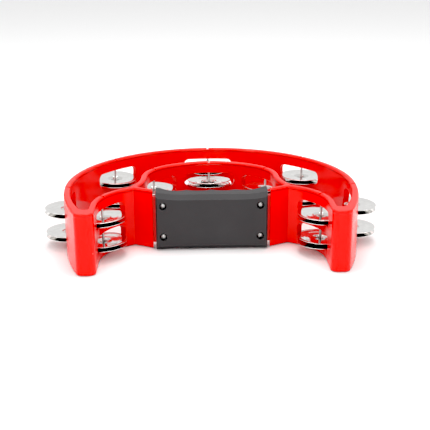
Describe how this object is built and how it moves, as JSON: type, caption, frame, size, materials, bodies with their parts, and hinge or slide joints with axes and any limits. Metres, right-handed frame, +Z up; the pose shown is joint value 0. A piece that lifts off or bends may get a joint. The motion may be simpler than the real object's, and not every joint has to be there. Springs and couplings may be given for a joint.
{
  "type": "half-moon tambourine",
  "caption": "Half-moon hand tambourine: moulded red crescent frame with paired loose metal jingles on steel pins in two rows and a clamped black grip.",
  "frame": {"origin": "centre of the bottom of the bounding box, on the surface the tambourine lies on", "axes": "+Z up out of that surface, +Y from the grip towards the back of the crescent, +X to the right seen from the grip side"},
  "size_m": [0.2992, 0.2368, 0.0542],
  "materials": {
    "frame": "gloss moulded",
    "grip": "fine matte texture",
    "screw": "zinc plated",
    "pin": "drawn wire",
    "jingle": "nickel plated, pressed"
  },
  "bodies": {
    "frame": {"frame": "frame", "grip_front_shell": "grip", "grip_rear_shell": "grip", "grip_screws": "screw", "pin_outer_left": "pin", "pin_outer_back_left": "pin", "pin_outer_back": "pin", "pin_outer_back_right": "pin", "pin_outer_right": "pin", "pin_inner_back": "pin", "pin_inner_left": "pin", "pin_inner_right": "pin", "pin_front_left": "pin", "pin_front_right": "pin"},
    "jingle_outer_left_low_bottom": {"jingle_outer_left_low_bottom": "jingle"},
    "jingle_outer_left_low_top": {"jingle_outer_left_low_top": "jingle"},
    "jingle_outer_left_high_bottom": {"jingle_outer_left_high_bottom": "jingle"},
    "jingle_outer_left_high_top": {"jingle_outer_left_high_top": "jingle"},
    "jingle_outer_back_left_low_bottom": {"jingle_outer_back_left_low_bottom": "jingle"},
    "jingle_outer_back_left_low_top": {"jingle_outer_back_left_low_top": "jingle"},
    "jingle_outer_back_left_high_bottom": {"jingle_outer_back_left_high_bottom": "jingle"},
    "jingle_outer_back_left_high_top": {"jingle_outer_back_left_high_top": "jingle"},
    "jingle_outer_back_low_bottom": {"jingle_outer_back_low_bottom": "jingle"},
    "jingle_outer_back_low_top": {"jingle_outer_back_low_top": "jingle"},
    "jingle_outer_back_high_bottom": {"jingle_outer_back_high_bottom": "jingle"},
    "jingle_outer_back_high_top": {"jingle_outer_back_high_top": "jingle"},
    "jingle_outer_back_right_low_bottom": {"jingle_outer_back_right_low_bottom": "jingle"},
    "jingle_outer_back_right_low_top": {"jingle_outer_back_right_low_top": "jingle"},
    "jingle_outer_back_right_high_bottom": {"jingle_outer_back_right_high_bottom": "jingle"},
    "jingle_outer_back_right_high_top": {"jingle_outer_back_right_high_top": "jingle"},
    "jingle_outer_right_low_bottom": {"jingle_outer_right_low_bottom": "jingle"},
    "jingle_outer_right_low_top": {"jingle_outer_right_low_top": "jingle"},
    "jingle_outer_right_high_bottom": {"jingle_outer_right_high_bottom": "jingle"},
    "jingle_outer_right_high_top": {"jingle_outer_right_high_top": "jingle"},
    "jingle_inner_back_low_bottom": {"jingle_inner_back_low_bottom": "jingle"},
    "jingle_inner_back_low_top": {"jingle_inner_back_low_top": "jingle"},
    "jingle_inner_back_high_bottom": {"jingle_inner_back_high_bottom": "jingle"},
    "jingle_inner_back_high_top": {"jingle_inner_back_high_top": "jingle"},
    "jingle_inner_left_low_bottom": {"jingle_inner_left_low_bottom": "jingle"},
    "jingle_inner_left_low_top": {"jingle_inner_left_low_top": "jingle"},
    "jingle_inner_left_high_bottom": {"jingle_inner_left_high_bottom": "jingle"},
    "jingle_inner_left_high_top": {"jingle_inner_left_high_top": "jingle"},
    "jingle_inner_right_low_bottom": {"jingle_inner_right_low_bottom": "jingle"},
    "jingle_inner_right_low_top": {"jingle_inner_right_low_top": "jingle"},
    "jingle_inner_right_high_bottom": {"jingle_inner_right_high_bottom": "jingle"},
    "jingle_inner_right_high_top": {"jingle_inner_right_high_top": "jingle"},
    "jingle_front_left_low_bottom": {"jingle_front_left_low_bottom": "jingle"},
    "jingle_front_left_low_top": {"jingle_front_left_low_top": "jingle"},
    "jingle_front_left_high_bottom": {"jingle_front_left_high_bottom": "jingle"},
    "jingle_front_left_high_top": {"jingle_front_left_high_top": "jingle"},
    "jingle_front_right_low_bottom": {"jingle_front_right_low_bottom": "jingle"},
    "jingle_front_right_low_top": {"jingle_front_right_low_top": "jingle"},
    "jingle_front_right_high_bottom": {"jingle_front_right_high_bottom": "jingle"},
    "jingle_front_right_high_top": {"jingle_front_right_high_top": "jingle"}
  },
  "joints": [
    {"name": "outer_left_low_bottom_slide", "type": "slide", "parent": "frame", "child": "jingle_outer_left_low_bottom", "axis": [0, 0, 1], "range_m": [0, 0.0036]},
    {"name": "outer_left_low_top_slide", "type": "slide", "parent": "jingle_outer_left_low_bottom", "child": "jingle_outer_left_low_top", "axis": [0, 0, 1], "range_m": [0, 0.0036]},
    {"name": "outer_left_high_bottom_slide", "type": "slide", "parent": "frame", "child": "jingle_outer_left_high_bottom", "axis": [0, 0, 1], "range_m": [0, 0.0036]},
    {"name": "outer_left_high_top_slide", "type": "slide", "parent": "jingle_outer_left_high_bottom", "child": "jingle_outer_left_high_top", "axis": [0, 0, 1], "range_m": [0, 0.0036]},
    {"name": "outer_back_left_low_bottom_slide", "type": "slide", "parent": "frame", "child": "jingle_outer_back_left_low_bottom", "axis": [0, 0, 1], "range_m": [0, 0.0036]},
    {"name": "outer_back_left_low_top_slide", "type": "slide", "parent": "jingle_outer_back_left_low_bottom", "child": "jingle_outer_back_left_low_top", "axis": [0, 0, 1], "range_m": [0, 0.0036]},
    {"name": "outer_back_left_high_bottom_slide", "type": "slide", "parent": "frame", "child": "jingle_outer_back_left_high_bottom", "axis": [0, 0, 1], "range_m": [0, 0.0036]},
    {"name": "outer_back_left_high_top_slide", "type": "slide", "parent": "jingle_outer_back_left_high_bottom", "child": "jingle_outer_back_left_high_top", "axis": [0, 0, 1], "range_m": [0, 0.0036]},
    {"name": "outer_back_low_bottom_slide", "type": "slide", "parent": "frame", "child": "jingle_outer_back_low_bottom", "axis": [0, 0, 1], "range_m": [0, 0.0036]},
    {"name": "outer_back_low_top_slide", "type": "slide", "parent": "jingle_outer_back_low_bottom", "child": "jingle_outer_back_low_top", "axis": [0, 0, 1], "range_m": [0, 0.0036]},
    {"name": "outer_back_high_bottom_slide", "type": "slide", "parent": "frame", "child": "jingle_outer_back_high_bottom", "axis": [0, 0, 1], "range_m": [0, 0.0036]},
    {"name": "outer_back_high_top_slide", "type": "slide", "parent": "jingle_outer_back_high_bottom", "child": "jingle_outer_back_high_top", "axis": [0, 0, 1], "range_m": [0, 0.0036]},
    {"name": "outer_back_right_low_bottom_slide", "type": "slide", "parent": "frame", "child": "jingle_outer_back_right_low_bottom", "axis": [0, 0, 1], "range_m": [0, 0.0036]},
    {"name": "outer_back_right_low_top_slide", "type": "slide", "parent": "jingle_outer_back_right_low_bottom", "child": "jingle_outer_back_right_low_top", "axis": [0, 0, 1], "range_m": [0, 0.0036]},
    {"name": "outer_back_right_high_bottom_slide", "type": "slide", "parent": "frame", "child": "jingle_outer_back_right_high_bottom", "axis": [0, 0, 1], "range_m": [0, 0.0036]},
    {"name": "outer_back_right_high_top_slide", "type": "slide", "parent": "jingle_outer_back_right_high_bottom", "child": "jingle_outer_back_right_high_top", "axis": [0, 0, 1], "range_m": [0, 0.0036]},
    {"name": "outer_right_low_bottom_slide", "type": "slide", "parent": "frame", "child": "jingle_outer_right_low_bottom", "axis": [0, 0, 1], "range_m": [0, 0.0036]},
    {"name": "outer_right_low_top_slide", "type": "slide", "parent": "jingle_outer_right_low_bottom", "child": "jingle_outer_right_low_top", "axis": [0, 0, 1], "range_m": [0, 0.0036]},
    {"name": "outer_right_high_bottom_slide", "type": "slide", "parent": "frame", "child": "jingle_outer_right_high_bottom", "axis": [0, 0, 1], "range_m": [0, 0.0036]},
    {"name": "outer_right_high_top_slide", "type": "slide", "parent": "jingle_outer_right_high_bottom", "child": "jingle_outer_right_high_top", "axis": [0, 0, 1], "range_m": [0, 0.0036]},
    {"name": "inner_back_low_bottom_slide", "type": "slide", "parent": "frame", "child": "jingle_inner_back_low_bottom", "axis": [0, 0, 1], "range_m": [0, 0.0036]},
    {"name": "inner_back_low_top_slide", "type": "slide", "parent": "jingle_inner_back_low_bottom", "child": "jingle_inner_back_low_top", "axis": [0, 0, 1], "range_m": [0, 0.0036]},
    {"name": "inner_back_high_bottom_slide", "type": "slide", "parent": "frame", "child": "jingle_inner_back_high_bottom", "axis": [0, 0, 1], "range_m": [0, 0.0036]},
    {"name": "inner_back_high_top_slide", "type": "slide", "parent": "jingle_inner_back_high_bottom", "child": "jingle_inner_back_high_top", "axis": [0, 0, 1], "range_m": [0, 0.0036]},
    {"name": "inner_left_low_bottom_slide", "type": "slide", "parent": "frame", "child": "jingle_inner_left_low_bottom", "axis": [0, 0, 1], "range_m": [0, 0.0036]},
    {"name": "inner_left_low_top_slide", "type": "slide", "parent": "jingle_inner_left_low_bottom", "child": "jingle_inner_left_low_top", "axis": [0, 0, 1], "range_m": [0, 0.0036]},
    {"name": "inner_left_high_bottom_slide", "type": "slide", "parent": "frame", "child": "jingle_inner_left_high_bottom", "axis": [0, 0, 1], "range_m": [0, 0.0036]},
    {"name": "inner_left_high_top_slide", "type": "slide", "parent": "jingle_inner_left_high_bottom", "child": "jingle_inner_left_high_top", "axis": [0, 0, 1], "range_m": [0, 0.0036]},
    {"name": "inner_right_low_bottom_slide", "type": "slide", "parent": "frame", "child": "jingle_inner_right_low_bottom", "axis": [0, 0, 1], "range_m": [0, 0.0036]},
    {"name": "inner_right_low_top_slide", "type": "slide", "parent": "jingle_inner_right_low_bottom", "child": "jingle_inner_right_low_top", "axis": [0, 0, 1], "range_m": [0, 0.0036]},
    {"name": "inner_right_high_bottom_slide", "type": "slide", "parent": "frame", "child": "jingle_inner_right_high_bottom", "axis": [0, 0, 1], "range_m": [0, 0.0036]},
    {"name": "inner_right_high_top_slide", "type": "slide", "parent": "jingle_inner_right_high_bottom", "child": "jingle_inner_right_high_top", "axis": [0, 0, 1], "range_m": [0, 0.0036]},
    {"name": "front_left_low_bottom_slide", "type": "slide", "parent": "frame", "child": "jingle_front_left_low_bottom", "axis": [0, 0, 1], "range_m": [0, 0.0036]},
    {"name": "front_left_low_top_slide", "type": "slide", "parent": "jingle_front_left_low_bottom", "child": "jingle_front_left_low_top", "axis": [0, 0, 1], "range_m": [0, 0.0036]},
    {"name": "front_left_high_bottom_slide", "type": "slide", "parent": "frame", "child": "jingle_front_left_high_bottom", "axis": [0, 0, 1], "range_m": [0, 0.0036]},
    {"name": "front_left_high_top_slide", "type": "slide", "parent": "jingle_front_left_high_bottom", "child": "jingle_front_left_high_top", "axis": [0, 0, 1], "range_m": [0, 0.0036]},
    {"name": "front_right_low_bottom_slide", "type": "slide", "parent": "frame", "child": "jingle_front_right_low_bottom", "axis": [0, 0, 1], "range_m": [0, 0.0036]},
    {"name": "front_right_low_top_slide", "type": "slide", "parent": "jingle_front_right_low_bottom", "child": "jingle_front_right_low_top", "axis": [0, 0, 1], "range_m": [0, 0.0036]},
    {"name": "front_right_high_bottom_slide", "type": "slide", "parent": "frame", "child": "jingle_front_right_high_bottom", "axis": [0, 0, 1], "range_m": [0, 0.0036]},
    {"name": "front_right_high_top_slide", "type": "slide", "parent": "jingle_front_right_high_bottom", "child": "jingle_front_right_high_top", "axis": [0, 0, 1], "range_m": [0, 0.0036]}
  ]
}
